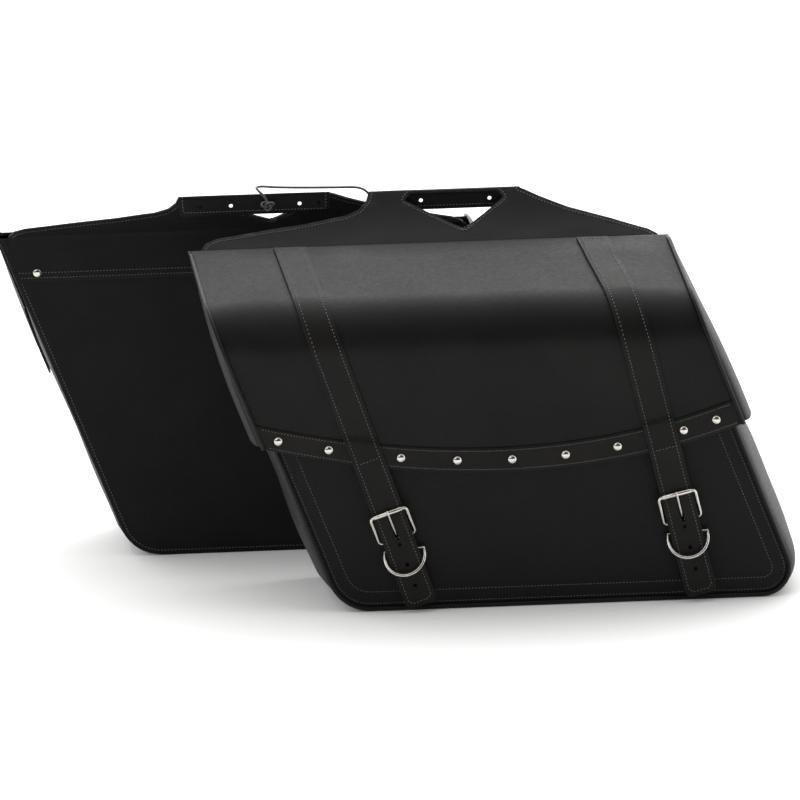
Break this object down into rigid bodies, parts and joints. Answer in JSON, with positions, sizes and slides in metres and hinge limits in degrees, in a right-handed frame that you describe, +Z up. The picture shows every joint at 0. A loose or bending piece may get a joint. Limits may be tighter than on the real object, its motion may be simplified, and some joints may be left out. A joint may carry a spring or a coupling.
{
  "type": "saddlebag",
  "caption": "Throw-over leather motorcycle saddlebag set with slanted bags, buckled straps, studded lids and a laced yoke that sits over the rear fender.",
  "frame": {"origin": "middle of the set's footprint, on the floor that both bags stand on", "axes": "+X to the motorcycle's rear, +Y to its right side, +Z up; the left bag's front faces -Y"},
  "size_m": [0.8212, 0.4552, 0.4082],
  "materials": {
    "nickel": "polished nickel plate",
    "leather": "fine-grained black, satin",
    "board": "matte fibreboard"
  },
  "bodies": {
    "left_bag": {"left_back_panel": "leather", "left_stiffener_boards": "board", "left_front_panel": "leather", "left_gusset": "leather", "left_front_piping": "leather", "left_anchor_patches": "leather", "left_press_studs": "nickel", "left_yoke": "leather", "left_yoke_rivets": "nickel", "lace": "leather"},
    "right_bag": {"right_back_panel": "leather", "right_stiffener_boards": "board", "right_front_panel": "leather", "right_gusset": "leather", "right_front_piping": "leather", "right_anchor_patches": "leather", "right_press_studs": "nickel", "right_yoke": "leather", "right_yoke_rivets": "nickel"},
    "left_lid": {"left_lid_panel": "leather", "left_lid_ends": "leather", "left_lid_piping": "leather", "left_lid_band": "leather", "left_lid_studs": "nickel", "left_lid_straps": "leather"},
    "left_front_strap_tail": {"left_front_strap_tail": "leather", "left_front_buckle": "nickel", "left_front_chape": "leather", "left_front_press_socket": "nickel"},
    "left_front_prong": {"left_front_prong": "nickel"},
    "left_front_roller": {"left_front_roller": "nickel"},
    "left_front_d_ring": {"left_front_d_ring": "nickel"},
    "left_rear_strap_tail": {"left_rear_strap_tail": "leather", "left_rear_buckle": "nickel", "left_rear_chape": "leather", "left_rear_press_socket": "nickel"},
    "left_rear_prong": {"left_rear_prong": "nickel"},
    "left_rear_roller": {"left_rear_roller": "nickel"},
    "left_rear_d_ring": {"left_rear_d_ring": "nickel"},
    "right_lid": {"right_lid_panel": "leather", "right_lid_ends": "leather", "right_lid_piping": "leather", "right_lid_band": "leather", "right_lid_studs": "nickel", "right_lid_straps": "leather"},
    "right_front_strap_tail": {"right_front_strap_tail": "leather", "right_front_buckle": "nickel", "right_front_chape": "leather", "right_front_press_socket": "nickel"},
    "right_front_prong": {"right_front_prong": "nickel"},
    "right_front_roller": {"right_front_roller": "nickel"},
    "right_front_d_ring": {"right_front_d_ring": "nickel"},
    "right_rear_strap_tail": {"right_rear_strap_tail": "leather", "right_rear_buckle": "nickel", "right_rear_chape": "leather", "right_rear_press_socket": "nickel"},
    "right_rear_prong": {"right_rear_prong": "nickel"},
    "right_rear_roller": {"right_rear_roller": "nickel"},
    "right_rear_d_ring": {"right_rear_d_ring": "nickel"}
  },
  "joints": [
    {"name": "yoke_shift", "type": "slide", "parent": "left_bag", "child": "right_bag", "axis": [1, 0, 0], "range_m": [0, 0.203]},
    {"name": "left_lid_hinge", "type": "hinge", "parent": "left_bag", "child": "left_lid", "pos_m": [0, -0.06, 0.353], "axis": [-1, 0, 0], "range_deg": [0, 105], "deforming": ["left_lid_ends"]},
    {"name": "left_front_strap_flex", "type": "hinge", "parent": "left_lid", "child": "left_front_strap_tail", "pos_m": [-0.02926, -0.2165, 0.15552], "axis": [-0.9483, 0, -0.3173], "range_deg": [0, 45]},
    {"name": "left_front_prong_swing", "type": "hinge", "parent": "left_front_strap_tail", "child": "left_front_prong", "pos_m": [-0.00356, -0.2114, 0.07871], "axis": [0.9483, 0, 0.3173], "range_deg": [0, 24]},
    {"name": "left_front_roller_spin", "type": "hinge", "parent": "left_front_strap_tail", "child": "left_front_roller", "pos_m": [-0.0134, -0.2209, 0.10811], "axis": [0.9483, 0, 0.3173], "continuous": true},
    {"name": "left_front_d_ring_swing", "type": "hinge", "parent": "left_front_strap_tail", "child": "left_front_d_ring", "pos_m": [0.00088, -0.2114, 0.06543], "axis": [-0.9483, 0, -0.3173], "range_deg": [0, 60]},
    {"name": "left_rear_strap_flex", "type": "hinge", "parent": "left_lid", "child": "left_rear_strap_tail", "pos_m": [0.27488, -0.2165, 0.1598], "axis": [-0.9744, 0, -0.225], "range_deg": [0, 45]},
    {"name": "left_rear_prong_swing", "type": "hinge", "parent": "left_rear_strap_tail", "child": "left_rear_prong", "pos_m": [0.29175, -0.2114, 0.08672], "axis": [0.9744, 0, 0.225], "range_deg": [0, 24]},
    {"name": "left_rear_roller_spin", "type": "hinge", "parent": "left_rear_strap_tail", "child": "left_rear_roller", "pos_m": [0.28478, -0.2209, 0.11692], "axis": [0.9744, 0, 0.225], "continuous": true},
    {"name": "left_rear_d_ring_swing", "type": "hinge", "parent": "left_rear_strap_tail", "child": "left_rear_d_ring", "pos_m": [0.2949, -0.2114, 0.07308], "axis": [-0.9744, 0, -0.225], "range_deg": [0, 60]},
    {"name": "right_lid_hinge", "type": "hinge", "parent": "right_bag", "child": "right_lid", "pos_m": [0, 0.06, 0.353], "axis": [1, 0, 0], "range_deg": [0, 105], "deforming": ["right_lid_ends"]},
    {"name": "right_front_strap_flex", "type": "hinge", "parent": "right_lid", "child": "right_front_strap_tail", "pos_m": [-0.23226, 0.2165, 0.15552], "axis": [0.9483, 0, 0.3173], "range_deg": [0, 45]},
    {"name": "right_front_prong_swing", "type": "hinge", "parent": "right_front_strap_tail", "child": "right_front_prong", "pos_m": [-0.20656, 0.2114, 0.07871], "axis": [-0.9483, 0, -0.3173], "range_deg": [0, 24]},
    {"name": "right_front_roller_spin", "type": "hinge", "parent": "right_front_strap_tail", "child": "right_front_roller", "pos_m": [-0.2164, 0.2209, 0.10811], "axis": [0.9483, 0, 0.3173], "continuous": true},
    {"name": "right_front_d_ring_swing", "type": "hinge", "parent": "right_front_strap_tail", "child": "right_front_d_ring", "pos_m": [-0.20212, 0.2114, 0.06543], "axis": [0.9483, 0, 0.3173], "range_deg": [0, 60]},
    {"name": "right_rear_strap_flex", "type": "hinge", "parent": "right_lid", "child": "right_rear_strap_tail", "pos_m": [0.07188, 0.2165, 0.1598], "axis": [0.9744, 0, 0.225], "range_deg": [0, 45]},
    {"name": "right_rear_prong_swing", "type": "hinge", "parent": "right_rear_strap_tail", "child": "right_rear_prong", "pos_m": [0.08876, 0.2114, 0.08672], "axis": [-0.9744, 0, -0.225], "range_deg": [0, 24]},
    {"name": "right_rear_roller_spin", "type": "hinge", "parent": "right_rear_strap_tail", "child": "right_rear_roller", "pos_m": [0.08178, 0.2209, 0.11692], "axis": [0.9744, 0, 0.225], "continuous": true},
    {"name": "right_rear_d_ring_swing", "type": "hinge", "parent": "right_rear_strap_tail", "child": "right_rear_d_ring", "pos_m": [0.09191, 0.2114, 0.07308], "axis": [0.9744, 0, 0.225], "range_deg": [0, 60]}
  ]
}
